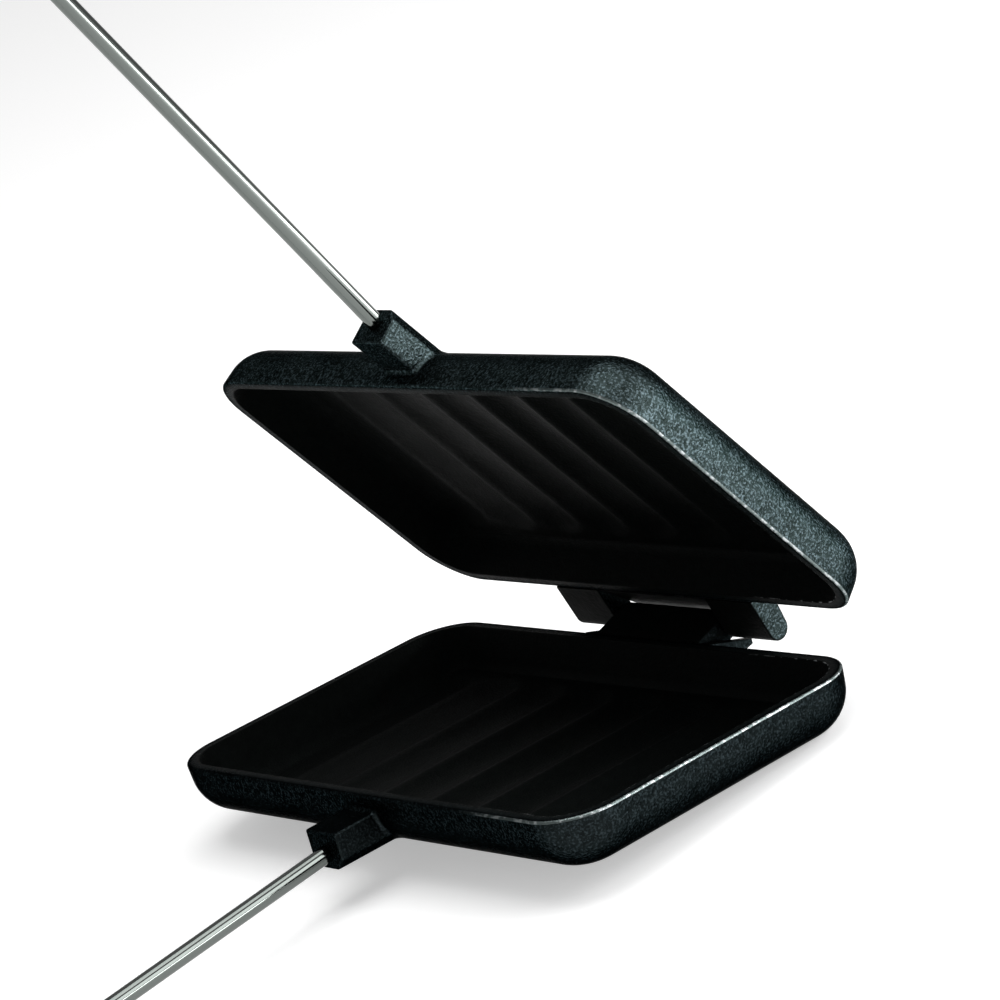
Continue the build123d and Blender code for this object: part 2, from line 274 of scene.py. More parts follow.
def ridge_height(x, y):
    """The height of the cavity floor: ridges flat on top, round grooves, and round groove ends."""
    last = outermost / FLUTE_PITCH
    nearest = min(max(round(x / FLUTE_PITCH - 0.5) + 0.5, -last), last)
    across = x - nearest * FLUTE_PITCH
    if abs(x) > outermost:
        across = 0
    beyond = max(abs(y) - FLUTE_STRAIGHT / 2, 0)
    away = min(hypot(across, beyond), STEEPEST * FLUTE_RADIUS)
    groove = FLUTE_RADIUS - sqrt(FLUTE_RADIUS**2 - away**2) - FLUTE_DEPTH
    return soft_min(groove, 0, RIDGE_SOFTNESS) - CAVITY_DEPTH


def cut_across(bm, geom, places_along, normal):
    """Cuts some geometry with a row of parallel planes and returns it."""
    for place_along in places_along:
        made = bmesh.ops.bisect_plane(
            bm, geom=geom, plane_co=normal * place_along, plane_no=normal, dist=1e-4,
        )
        geom = made["geom"]
    return geom


def floor_cuts():
    """Where the floor is cut: finely across every groove, and along it only at the round ends."""
    steps = range(-FLUTE_CUTS, FLUTE_CUTS + 1)
    centres = [n * FLUTE_PITCH - outermost for n in range(FLUTE_COUNT)]
    across = [centre + flute_half * step / FLUTE_CUTS for centre in centres for step in steps]
    ends = [FLUTE_STRAIGHT / 2 + flute_half * step / FLUTE_CUTS for step in range(FLUTE_CUTS + 1)]
    along = [side * end for side in (-1, 1) for end in ends] + [0]
    return across, along


def inner_shell(bm):
    """Rim land, cavity walls and grooved floor of a pan."""
    face = rim_face(bm)
    bmesh.ops.inset_region(
        bm, faces=[face], thickness=RIM_LAND, depth=0, use_even_offset=True, use_boundary=True,
    )
    drop_face(bm, face, cavity_bottom - RIM_HEIGHT, CAVITY_DRAFT)
    bevel_edges(bm, face.edges, tangent_length(CAVITY_ROUND, 90 - CAVITY_DRAFT), CAVITY_STEPS)
    fillet_top = cavity_bottom + CAVITY_ROUND * (1 - sin(radians(CAVITY_DRAFT)))
    floor_faces = [each for each in bm.faces if each.calc_center_median().z < fillet_top]
    edges = {edge for each in floor_faces for edge in each.edges}
    points = {vert for each in floor_faces for vert in each.verts}
    across, along = floor_cuts()
    geom = cut_across(bm, floor_faces + list(edges) + list(points), across, Vector((1, 0, 0)))
    cut_across(bm, geom, along, Vector((0, 1, 0)))
    for vert in bm.verts:
        if vert.co.z < fillet_top:
            vert.co.z = max(vert.co.z, ridge_height(vert.co.x, vert.co.y))


def rim_edges(bm, outer):
    """The sharp edges of the rim land, either the ones on the outside or the ones round the cavity."""
    found = []
    for edge in bm.edges:
        levels = sorted(edge.link_faces, key=lambda each: each.normal.z)
        if len(levels) != 2 or levels[1].normal.z < 0.99 or levels[0].normal.z > 0.6:
            continue
        if edge.verts[0].co.z < RIM_HEIGHT - 0.01 or edge.verts[1].co.z < RIM_HEIGHT - 0.01:
            continue
        if (inset_of(edge.verts[0].co.x, edge.verts[0].co.y) < RIM_LAND / 2) == outer:
            found.append(edge)
    return found


RIM_ROUND = 1.0
CAVITY_EDGE_ROUND = 0.5


def pan_body():
    """The casting without socket and hinge: outside and inside joined at the rim, with the rim softened."""
    bm = bmesh.new()
    outer_shell(bm)
    inner = bmesh.new()
    inner_shell(inner)
    mesh = bpy.data.meshes.new("inner")
    inner.to_mesh(mesh)
    inner.free()
    bm.from_mesh(mesh)
    bpy.data.meshes.remove(mesh)
    bmesh.ops.remove_doubles(bm, verts=bm.verts[:], dist=0.001)
    bmesh.ops.recalc_face_normals(bm, faces=bm.faces[:])
    bevel_edges(bm, rim_edges(bm, True), tangent_length(RIM_ROUND, 90 + WALL_DRAFT), SOFT_STEPS)
    edge_offset = tangent_length(CAVITY_EDGE_ROUND, 90 - CAVITY_DRAFT)
    bevel_edges(bm, rim_edges(bm, False), edge_offset, CHAMFER_STEPS)
    return bm


body = pan_body()
open_edges = [edge for edge in body.edges if len(edge.link_faces) != 2]
print("pan body:", len(body.faces), "faces,", len(open_edges), "open edges")
print("volume", round(body.calc_volume()))

# %% [markdown]
# ## The socket for the rod
#
# A block stands out of each front wall, flat on the rim side and chamfered on the other, and the rod is
# fixed in it. In a casting it grows out of the wall through a soft root. Here the nose's outline is
# extruded backwards ring by ring. The last rings are scaled up along a quarter circle and laid against
# the wall, so the root is a true fillet that follows the wall's round bottom.

# %%
SOCKET_LENGTH = 18.0
SOCKET_WIDTH = 18.0
SOCKET_NEAR = 6.3
SOCKET_FAR = 20.7
SOCKET_CHAMFER = 4.4
SOCKET_ROUND = 0.9
SOCKET_ROOT = 1.7
ROOT_STEPS = 5
ROOT_SINK = 2.0
NOSE_ROUND = SOCKET_ROUND * 0.8
NOSE_CUTS = 7

round_middle_z = EDGE_RADIUS - HALF_HEIGHT
round_middle_inset = EDGE_RADIUS / cos(radians(WALL_DRAFT)) - round_middle_z * tan(radians(WALL_DRAFT))
tangent_z = round_middle_z - EDGE_RADIUS * sin(radians(WALL_DRAFT))


def wall_inset(z):
    """How far the outside of the wall stands inside the rim outline at a height."""
    if z > tangent_z:
        return -z * tan(radians(WALL_DRAFT))
    drop = min(round_middle_z - z, EDGE_RADIUS)
    return round_middle_inset - sqrt(EDGE_RADIUS**2 - drop**2)


def socket_block():
    """The socket as a closed solid whose root is sunk in the front wall."""
    bm = bmesh.new()
    half = SOCKET_WIDTH / 2
    nose_y = -HEAD_DEPTH / 2 - SOCKET_LENGTH
    corners = [
        (-half, -SOCKET_NEAR), (half, -SOCKET_NEAR), (half, SOCKET_CHAMFER - SOCKET_FAR),
        (half - SOCKET_CHAMFER, -SOCKET_FAR), (SOCKET_CHAMFER - half, -SOCKET_FAR),
        (-half, SOCKET_CHAMFER - SOCKET_FAR),
    ]
    nose = bm.faces.new([bm.verts.new((x, nose_y, z)) for x, z in corners])
    bmesh.ops.bevel(
        bm, geom=bm.verts[:], offset=SOCKET_ROUND, offset_type="OFFSET", segments=4,
        profile=0.5, affect="VERTICES", material=-1,
    )
    long_edges = [edge for edge in bm.edges if edge.calc_length() > SOCKET_ROUND]
    bmesh.ops.subdivide_edges(bm, edges=long_edges, cuts=NOSE_CUTS)
    loop = [edge for edge in bm.edges if len(edge.link_faces) == 1]
    middle = Vector((0, 0, -(SOCKET_NEAR + SOCKET_FAR) / 2))
    tall = (SOCKET_FAR - SOCKET_NEAR) / 2
    grown = 0
    for step in range(ROOT_STEPS + 2):
        turn = min(step / ROOT_STEPS, 1) * pi / 2
        growth = SOCKET_ROOT * (1 - cos(turn))
        off_wall = SOCKET_ROOT * (1 - sin(turn))
        if step > ROOT_STEPS:
            off_wall = -ROOT_SINK
        made = bmesh.ops.extrude_edge_only(bm, edges=loop)
        loop = [each for each in made["geom"] if isinstance(each, bmesh.types.BMEdge)]
        ring = [each for each in made["geom"] if isinstance(each, bmesh.types.BMVert)]
        wider = ((half + growth) / (half + grown), 1, (tall + growth) / (tall + grown))
        bmesh.ops.scale(bm, vec=wider, verts=ring, space=Matrix.Translation(-middle))
        for vert in ring:
            vert.co.y = wall_inset(vert.co.z) - HEAD_DEPTH / 2 - off_wall
        grown = growth
    bmesh.ops.contextual_create(bm, geom=loop)
    bmesh.ops.recalc_face_normals(bm, faces=bm.faces[:])
    nose = min(bm.faces, key=lambda each: each.calc_center_median().y)
    bevel_edges(bm, nose.edges, NOSE_ROUND, SOFT_STEPS)
    return bm


test = socket_block()
print("socket:", len(test.faces), "faces, open", sum(len(e.link_faces) != 2 for e in test.edges))
print("volume", round(test.calc_volume()))
test.free()

# %% [markdown]
# ## Lugs and aprons of the hinge
#
# The hinge is cast with the pans. The lower pan has one long lug, the upper pan has an ear on each side
# of it, and one pin runs through all three. Each lug is a web that runs tangent into a barrel. Under the
# other half's lug the wall carries an apron, a ledge that stays clear of it and closes most of the gap.
# Both are the same kind of solid, a section that is pushed out along the hinge, so one function makes
# them. The arc of the barrel is a spun vertex, and the inner corner where the web's underside meets the
# wall is bevelled as a vertex, which gives the cast root.

# %%
BARREL_RADIUS = 4.7
WEB_FOOT = 13.0
WEB_CLEAR = 0.6
WEB_SINK = 0.8
WEB_ROOT = 4.0
ROOT_ROUND = 3.2
LUG_HALF_WIDTH = 29.2
EAR_INNER = 30.7
EAR_OUTER = 56.0
LUG_ROUND = 0.7
APRON_CLEAR = 0.8
APRON_PAST = 2.6
APRON_EDGE = 2.0
APRON_OUTER = 36.0
APRON_GAP = 0.5
APRON_IN_EAR = 0.5
BARREL_STEPS = 28
APRON_ROUND = 0.3
ROOT_CORNER_STEPS = 6
ROOT_PASSES = 12

foot = Vector((-HINGE_BACK - WEB_FOOT * tan(radians(WALL_DRAFT)), -WEB_FOOT))
near_wall = Vector((WEB_CLEAR - HINGE_BACK, 2 * RIM_HEIGHT))
top_turn = asin(BARREL_RADIUS / near_wall.length)
touch_top = Vector((-BARREL_RADIUS * sin(top_turn), BARREL_RADIUS * cos(top_turn)))
foot_turn = atan2(foot.y, foot.x) + pi - asin(BARREL_RADIUS / foot.length)
touch_under = Vector((BARREL_RADIUS * sin(foot_turn), -BARREL_RADIUS * cos(foot_turn)))
rise = (touch_under.y - foot.y) / (touch_under.x - foot.x)
top_slope = (touch_top.y - near_wall.y) / (touch_top.x - near_wall.x)


def on_wall(z):
    """A place on the outside of the back wall, from the hinge axis."""
    return Vector((-HINGE_BACK - wall_inset(z), z))


def root_corner(tip, slope):
    """Where an underside that leaves a place with this slope meets the wall."""
    height = foot.y
    for _ in range(ROOT_PASSES):
        height = tip.y + slope * (on_wall(height).x - tip.x)
    return on_wall(height)


def behind_wall(x_low, x_high, start, spun, corner, end_round):
    """Pushes out a section behind the back wall, from its outline's points and the part that is spun."""
    bm = bmesh.new()
    below = on_wall(corner.y - ROOT_ROUND)
    inside = [
        below + Vector((-ROOT_SINK, 1)), Vector((-HINGE_BACK - WEB_ROOT, corner.y)),
        Vector((-HINGE_BACK - WEB_ROOT, -WEB_SINK)), Vector((near_wall.x, -WEB_SINK)),
    ]
    first = [bm.verts.new((x_low, hinge_y + p.x, p.y)) for p in start]
    chain = first
    if spun:
        bmesh.ops.spin(
            bm, geom=[first[-1]], cent=(x_low, hinge_y, 0), axis=(1, 0, 0), angle=-spun, steps=BARREL_STEPS,
        )
        chain = first + sorted((v for v in bm.verts if v not in first), key=angle_from_top)
    rest = [bm.verts.new((x_low, hinge_y + p.x, p.y)) for p in [corner, below] + inside]
    for edge in bm.edges[:]:
        bm.edges.remove(edge)
    bm.faces.new(chain + rest)
    bmesh.ops.bevel(
        bm, geom=[rest[0]], offset=ROOT_ROUND, offset_type="OFFSET", segments=ROOT_CORNER_STEPS,
        profile=0.5, affect="VERTICES", material=-1,
    )
    made = bmesh.ops.extrude_face_region(bm, geom=bm.faces[:])
    far = [each for each in made["geom"] if isinstance(each, bmesh.types.BMVert)]
    bmesh.ops.translate(bm, vec=(x_high - x_low, 0, 0), verts=far)
    bmesh.ops.recalc_face_normals(bm, faces=bm.faces[:])
    ends = [each for each in bm.faces if abs(each.normal.x) > 0.9]
    bevel_edges(bm, {edge for each in ends for edge in each.edges}, end_round, CHAMFER_STEPS)
    return bm


def angle_from_top(vert):
    """The angle of a point of the barrel, from the top and over the back."""
    return atan2(vert.co.y - hinge_y, vert.co.z)


def lug(x_low, x_high):
    """A web with its barrel."""
    turn = pi - foot_turn + top_turn
    corner = root_corner(foot, rise)
    return behind_wall(x_low, x_high, [near_wall, touch_top], turn, corner, LUG_ROUND)


def apron(x_low, x_high):
    """A ledge on the wall that leaves room for the other half's lug and ends in a blunt edge past the pin."""
    start = Vector((near_wall.x, -near_wall.y - APRON_CLEAR))
    upper_tip = Vector((APRON_PAST, start.y - top_slope * (APRON_PAST - near_wall.x)))
    lower_tip = upper_tip - Vector((0, APRON_EDGE))
    slope = (lower_tip.y - foot.y) / (lower_tip.x - foot.x)
    corner = root_corner(lower_tip, slope)
    return behind_wall(x_low, x_high, [start, upper_tip, lower_tip], 0, corner, APRON_ROUND)


for name, test in (("lug", lug(-10, 10)), ("apron", apron(-10, 10))):
    print(name, len(test.faces), "faces, open", sum(len(e.link_faces) != 2 for e in test.edges))
    print(name, "volume", round(test.calc_volume()))
    test.free()

# %% [markdown]
# ## Casting the two pans
#
# A foundry pours body, socket and lugs as one piece of iron. The solids made so far overlap, and boolean
# unions with the exact solver turn them into one closed surface. The bores for the pin and the rod are
# then cut away. Joining them is worth it over leaving them overlapped, because the printed shape has no
# walls inside it.

# %%
PIN_RADIUS = 2.38
PIN_PLAY = 0.05
PIN_BLIND_END = 50.0
ROD_RADIUS = 3.175
ROD_AT_WALL = 12.9
ROD_SPLAY = radians(6.25)
ROD_SEAT = 3.0
SOCKET_GAP = 0.15
BORE_SIDES = 64

rod_origin = Vector((0, -HEAD_DEPTH / 2, -ROD_AT_WALL))
along_rod = Vector((0, -cos(ROD_SPLAY), -sin(ROD_SPLAY)))
rod_frame = Matrix.Translation(rod_origin) @ along_rod.to_track_quat("Z", "X").to_matrix().to_4x4()


def cylinder(radius, start, end, matrix, end_round=0):
    """A closed round bar along the Z axis of a matrix, its ends rounded if asked."""
    bm = bmesh.new()
    bmesh.ops.create_cone(
        bm, cap_ends=True, segments=BORE_SIDES, radius1=radius, radius2=radius, depth=end - start,
        matrix=matrix @ Matrix.Translation((0, 0, (start + end) / 2)),
    )
    if end_round:
        caps = [each for each in bm.faces if len(each.verts) == BORE_SIDES]
        bevel_edges(bm, {edge for each in caps for edge in each.edges}, end_round, CHAMFER_STEPS)
    return bm


def object_of(bm, name):
    """A linked object made from a bmesh, which is then freed."""
    mesh = bpy.data.meshes.new(name)
    bm.to_mesh(mesh)
    bm.free()
    made = bpy.data.objects.new(name, mesh)
    bpy.context.scene.collection.objects.link(made)
    return made


def join(blank, tool_shapes, operation):
    """Unites a blank with some solids, or cuts them out of it, and returns the result as a bmesh."""
    target = object_of(blank, "blank")
    tools = [object_of(shape, "tool") for shape in tool_shapes]
    for tool in tools:
        modifier = target.modifiers.new("join", "BOOLEAN")
        modifier.operation = operation
        modifier.solver = "EXACT"
        modifier.object = tool
    bpy.context.view_layer.update()
    solved = target.evaluated_get(bpy.context.evaluated_depsgraph_get())
    bm = bmesh.new()
    bm.from_mesh(solved.to_mesh())
    for each in [target] + tools:
        mesh = each.data
        bpy.data.objects.remove(each)
        bpy.data.meshes.remove(mesh)
    bmesh.ops.remove_doubles(bm, verts=bm.verts[:], dist=0.002)
    bmesh.ops.dissolve_degenerate(bm, edges=bm.edges[:], dist=0.001)
    return bm


across_hinge = Matrix.Translation((0, hinge_y, 0)) @ Matrix.Rotation(pi / 2, 4, "Y")
blank = join(body, [socket_block()], "UNION")
rod_bore = cylinder(ROD_RADIUS + SOCKET_GAP, -ROD_SEAT, 2 * SOCKET_LENGTH, rod_frame)
blank = join(blank, [rod_bore], "DIFFERENCE")

apron_reach = EAR_INNER + APRON_IN_EAR
apron_inner = apron_reach + APRON_GAP
castings = {
    "lower": join(blank.copy(), [
        apron(-APRON_OUTER, -apron_inner), apron(apron_inner, APRON_OUTER),
        lug(-LUG_HALF_WIDTH, LUG_HALF_WIDTH),
    ], "UNION"),
    "upper": join(blank, [
        apron(-apron_reach, apron_reach),
        lug(-EAR_OUTER, -EAR_INNER), lug(EAR_INNER, EAR_OUTER),
    ], "UNION"),
}
running = PIN_RADIUS + PIN_PLAY
castings["lower"] = join(castings["lower"], [
    cylinder(PIN_RADIUS, -EAR_INNER, EAR_INNER, across_hinge),
], "DIFFERENCE")
castings["upper"] = join(castings["upper"], [
    cylinder(running, -EAR_OUTER - 1, -LUG_HALF_WIDTH, across_hinge),
    cylinder(running, LUG_HALF_WIDTH, PIN_BLIND_END, across_hinge),
], "DIFFERENCE")
for half, bm in castings.items():
    print(half, "pan:", len(bm.faces), "faces, open", sum(len(e.link_faces) != 2 for e in bm.edges))
    print(half, "pan volume", round(bm.calc_volume()))

# %% [markdown]
# ## From a shape to a finished piece
#
# A finish is easier to paint when it knows three things about each point: where it lies on its own piece,
# how exposed it is to knocks, and whether it is shut in when the iron is closed. They are stored as
# attributes on the mesh, so the patterns turn with the piece and have a scale in millimetres. Smooth
# shading with sharp edges above an angle, and normals weighted by face area, keep the flats flat beside
# the rounds.

# %%
SHARP_ANGLE = radians(38)
KNOCK_LOW = radians(7)
KNOCK_HIGH = radians(24)
WALL_MARGIN = 0.6
RIM_BAND = 0.2
LAND_FROM = RIM_ROUND * 1.1
LOOKS_UP = 0.5
bodies = {"lower": "lower_half", "upper": "upper_half"}
pieces = []


def exposure(vert):
    """From 0 on a flat or hollow place to 1 on a tight outward edge."""
    turns = [edge.calc_face_angle_signed(0) for edge in vert.link_edges]
    return min(max((max(turns, default=0) - KNOCK_LOW) / (KNOCK_HIGH - KNOCK_LOW), 0), 1)


def is_shut_in(vert):
    """1 for a point of the cavity, the rim land or a hinge face that looks to the rims, and 0 elsewhere."""
    inside = inset_of(vert.co.x, vert.co.y)
    wall = RIM_LAND + (RIM_HEIGHT - vert.co.z) * tan(radians(CAVITY_DRAFT)) - WALL_MARGIN
    in_cavity = cavity_bottom < vert.co.z < RIM_HEIGHT - RIM_BAND and inside > wall
    on_land = vert.co.z > RIM_HEIGHT - RIM_BAND and inside > LAND_FROM
    looks_up = any(face.normal.z > LOOKS_UP for face in vert.link_faces)
    in_hinge = vert.co.y > HEAD_DEPTH / 2 and looks_up
    return float(in_cavity or on_land or in_hinge)


def finish_piece(name, bm, half, slot, replaced, own=None):
    """Makes a shape a smooth-shaded piece that rides with its half and stands for a CAD node."""
    own = own or Matrix()
    bmesh.ops.recalc_face_normals(bm, faces=bm.faces[:])
    own_place = [value for vert in bm.verts for value in own @ vert.co]
    knocks = [exposure(vert) for vert in bm.verts]
    shut_in = [is_shut_in(vert) if slot == "cast_iron" else 0 for vert in bm.verts]
    bm.transform(places[half])
    if places[half].determinant() < 0:
        bmesh.ops.reverse_faces(bm, faces=bm.faces[:])
    piece = object_of(bm, name)
    mesh = piece.data
    mesh.attributes.new("own_place", "FLOAT_VECTOR", "POINT").data.foreach_set("vector", own_place)
    mesh.attributes.new("knocks", "FLOAT", "POINT").data.foreach_set("value", knocks)
    mesh.attributes.new("shut_in", "FLOAT", "POINT").data.foreach_set("value", shut_in)
    mesh.shade_smooth()
    mesh.set_sharp_from_angle(angle=SHARP_ANGLE)
    weighted = piece.modifiers.new("weighted normals", "WEIGHTED_NORMAL")
    weighted.keep_sharp = True
    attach(piece, bodies[half])
    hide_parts(replaced)
    pieces.append((piece, half, slot))
    return piece


for half, bm in castings.items():
    piece = finish_piece(f"{half}_casting", bm, half, "cast_iron", f"{half}_pan")
    print(piece.name, len(piece.data.polygons), "faces")

# %% [markdown]
# ## Rods and hinge pin
#
# Both are plain round bar, cut to length with a small chamfer. A rod is driven a little way into its
# socket and far into the grip. A cone with equal radii is a bar, and its end edges are bevelled.

# %%
OVERALL_LENGTH = 711.0
GRIP_LENGTH = 128.0
GRIP_BORE_DEPTH = 88.0
ROD_TIP = 0.6
PIN_RECESS = 0.6
PIN_END_GAP = 0.4
PIN_CHAMFER = 0.4
ROD_END_GAP = 0.5

front_reach = OVERALL_LENGTH - hinge_y - BARREL_RADIUS - HEAD_DEPTH / 2
grip_start = front_reach / cos(ROD_SPLAY) - GRIP_LENGTH
to_rod = rod_frame.inverted()

for half in places:
    rod_end = grip_start + GRIP_BORE_DEPTH - ROD_END_GAP
    bar = cylinder(ROD_RADIUS, ROD_END_GAP - ROD_SEAT, rod_end, rod_frame, ROD_TIP)
    finish_piece(f"{half}_plated_rod", bar, half, "chrome", f"{half}_rod", to_rod)
pin = cylinder(PIN_RADIUS, PIN_RECESS - EAR_OUTER, PIN_BLIND_END - PIN_END_GAP, across_hinge, PIN_CHAMFER)
finish_piece("cut_hinge_pin", pin, "lower", "pin_steel", "hinge_pin", across_hinge.inverted())
print(f"rod {grip_start + GRIP_BORE_DEPTH + ROD_SEAT:.0f} mm, grip starts {grip_start:.1f} mm from the wall")

# %% [markdown]
# ## Grips, ferrules and cross pins
#
# The grip is turned on a lathe: a neck, a belly for the palm, a waist and a round knob. A drawn steel
# ferrule keeps its end from splitting, and a cross pin through ferrule, wood and rod holds it. A spin is
# the lathe of this notebook. It turns an outline about the rod, and the outline's corners are rounded
# first, as a flat face.

# %%
LATHE_STEPS = 72
FERRULE_LENGTH = 17.0
FERRULE_MOUTH = 7.6
FERRULE_WALL = 0.9
FERRULE_LIP = 0.8
FERRULE_BEAD = 0.5
FERRULE_BEAD_LENGTH = 2.2
GRIP_NECK = 9.6
GRIP_BELLY = (14.2, 64.0)
GRIP_WAIST = (11.8, 105.0)
KNOB_RADIUS = 15.2
KNOB_ROUND = 7.5
GRIP_PIN_RADIUS = 1.5
GRIP_PIN_AT = 10.0
GRIP_PIN_PROUD = 0.6
GRIP_PIN_CHAMFER = 0.45
FIT_GAP = 0.05
ROUND_HANDLE = 0.5523


def span(start, end, steps, start_slope=0.0, end_slope=0.0):
    """A smooth stretch of a lathe outline between two (radius, distance) points, without its last point."""
    third = (end[1] - start[1]) / 3
    leave = Vector((start[0] + start_slope * third, start[1] + third))
    arrive = Vector((end[0] - end_slope * third, end[1] - third))
    points = interpolate_bezier(Vector(start), leave, arrive, Vector(end), steps)
    return [tuple(point)[:2] for point in points][:-1]


def turned(outline, rounds):
    """Turns a closed outline about the rod, after rounding some of its corners by their place in the list."""
    bm = bmesh.new()
    corners = [bm.verts.new((radius, 0, along)) for radius, along in outline]
    bm.faces.new(corners)
    for place_in_list, offset in rounds.items():
        bmesh.ops.bevel(
            bm, geom=[corners[place_in_list]], offset=offset, offset_type="OFFSET", segments=4,
            profile=0.5, affect="VERTICES", material=-1,
        )
    bmesh.ops.delete(bm, geom=bm.faces[:], context="FACES_ONLY")
    on_axis = [edge for edge in bm.edges if max(vert.co.x for vert in edge.verts) < 1e-6]
    bmesh.ops.delete(bm, geom=on_axis, context="EDGES")
    bmesh.ops.spin(
        bm, geom=bm.verts[:] + bm.edges[:], cent=(0, 0, 0), axis=(0, 0, 1), angle=2 * pi,
        steps=LATHE_STEPS, use_merge=True,
    )
    bmesh.ops.remove_doubles(bm, verts=bm.verts[:], dist=1e-4)
    bm.transform(rod_frame @ Matrix.Translation((0, 0, grip_start)))
    return bm


def grip_shape():
    """The wooden grip with its spigot and the blind bore for the rod."""
    bore = ROD_RADIUS + FIT_GAP
    knob_widest = (KNOB_RADIUS, GRIP_LENGTH - KNOB_ROUND)
    knob_end = Vector((KNOB_RADIUS - KNOB_ROUND, GRIP_LENGTH))
    reach = KNOB_ROUND * ROUND_HANDLE
    leave = Vector((KNOB_RADIUS, knob_widest[1] + reach))
    arrive = knob_end + Vector((reach, 0))
    knob = interpolate_bezier(Vector(knob_widest), leave, arrive, knob_end, 14)
    spigot = FERRULE_MOUTH - FIT_GAP
    outline = [(bore, 0), (spigot, 0), (spigot, FERRULE_LENGTH)]
    outline += span((GRIP_NECK, FERRULE_LENGTH), GRIP_BELLY, 16, start_slope=0.3)
    outline += span(GRIP_BELLY, GRIP_WAIST, 14)
    outline += span(GRIP_WAIST, knob_widest, 8)
    outline += [tuple(point)[:2] for point in knob]
    outline += [(0, GRIP_LENGTH), (0, GRIP_BORE_DEPTH), (bore, GRIP_BORE_DEPTH)]
    return turned(outline, {3: 0.9})


def ferrule_shape():
    """The drawn cup with a rolled bead round its mouth."""
    inner = FERRULE_MOUTH
    outer = inner + FERRULE_WALL
    hole = ROD_RADIUS + FIT_GAP
    bead = FERRULE_LENGTH - FERRULE_BEAD_LENGTH
    outline = [
        (hole, -FERRULE_LIP), (outer, -FERRULE_LIP), (outer, bead), (outer + FERRULE_BEAD, bead + 0.3),
        (outer + FERRULE_BEAD, FERRULE_LENGTH), (inner, FERRULE_LENGTH), (inner, 0), (hole, 0),
    ]
    return turned(outline, {0: 0.2, 1: 1.6, 2: 0.3, 3: 0.6, 4: 0.6})


pin_reach = FERRULE_MOUTH + FERRULE_WALL + GRIP_PIN_PROUD
to_grip_pin = Matrix.Translation((0, 0, grip_start + GRIP_PIN_AT))
across_grip = rod_frame @ to_grip_pin @ Matrix.Rotation(pi / 2, 4, "Y")
for half in places:
    grip = finish_piece(f"{half}_turned_grip", grip_shape(), half, "wood", f"{half}_grip", to_rod)
    cup = finish_piece(
        f"{half}_drawn_ferrule", ferrule_shape(), half, "ferrule_steel", f"{half}_ferrule", to_rod,
    )
    rivet = cylinder(GRIP_PIN_RADIUS, -pin_reach, pin_reach, across_grip, GRIP_PIN_CHAMFER)
    finish_piece(f"{half}_cross_pin", rivet, half, "pin_steel", f"{half}_grip_pin", across_grip.inverted())
    print(grip.name, len(grip.data.polygons), "faces,", cup.name, len(cup.data.polygons), "faces")

# %% [markdown]
# ## Two helpers for materials
#
# Colours are written as sRGB hex values, as a paint chart gives them, and one function turns them to the
# linear values that the shaders want. One more function adds a node, sets its values and makes its links.

# %%
def paint(code):
    """The linear colour, with alpha, of an sRGB hex value."""
    channels = [int(code[place_in_code:place_in_code + 2], 16) / 255 for place_in_code in (1, 3, 5)]
    return [c / 12.92 if c <= 0.04045 else ((c + 0.055) / 1.055) ** 2.4 for c in channels] + [1.0]


def node(tree, kind, inputs=None, **settings):
    """Adds a node; an input is given as a number, a colour, or another node's output to link."""
    made = tree.nodes.new(kind)
    for name, value in settings.items():
        setattr(made, name, value)
    for name, value in (inputs or {}).items():
        if isinstance(value, bpy.types.NodeSocket):
            tree.links.new(value, made.inputs[name])
        else:
            made.inputs[name].default_value = value
    return made


def new_material(name):
    """A material with only its output, and its node tree."""
    material = bpy.data.materials.new(name)
    material.use_nodes = True
    tree = material.node_tree
    tree.nodes.clear()
    return material, tree


def surface(tree, inputs):
    """The shader of a material, joined to its output."""
    shader = node(tree, "ShaderNodeBsdfPrincipled", inputs)
    node(tree, "ShaderNodeOutputMaterial", {"Surface": shader.outputs["BSDF"]})
    return shader


def blend_colours(tree, share, low, high):
    """A mix of two colours by a share from 0 to 1."""
    made = node(tree, "ShaderNodeMix", data_type="RGBA")
    for socket, value in zip((made.inputs[0], made.inputs[6], made.inputs[7]), (share, low, high)):
        if isinstance(value, bpy.types.NodeSocket):
            tree.links.new(value, socket)
        else:
            socket.default_value = value
    return made.outputs[2]


def ramp(tree, value, low, high, to_low=0.0, to_high=1.0):
    """A value carried from one range to another and held there."""
    made = node(tree, "ShaderNodeMapRange", {
        "Value": value, "From Min": low, "From Max": high, "To Min": to_low, "To Max": to_high,
    })
    return made.outputs["Result"]


def calc(tree, operation, a, b=0.0):
    """One sum on two values."""
    made = node(tree, "ShaderNodeMath", {0: a, 1: b}, operation=operation)
    return made.outputs["Value"]


print("middle grey as linear:", [round(value, 4) for value in paint("#808080")])
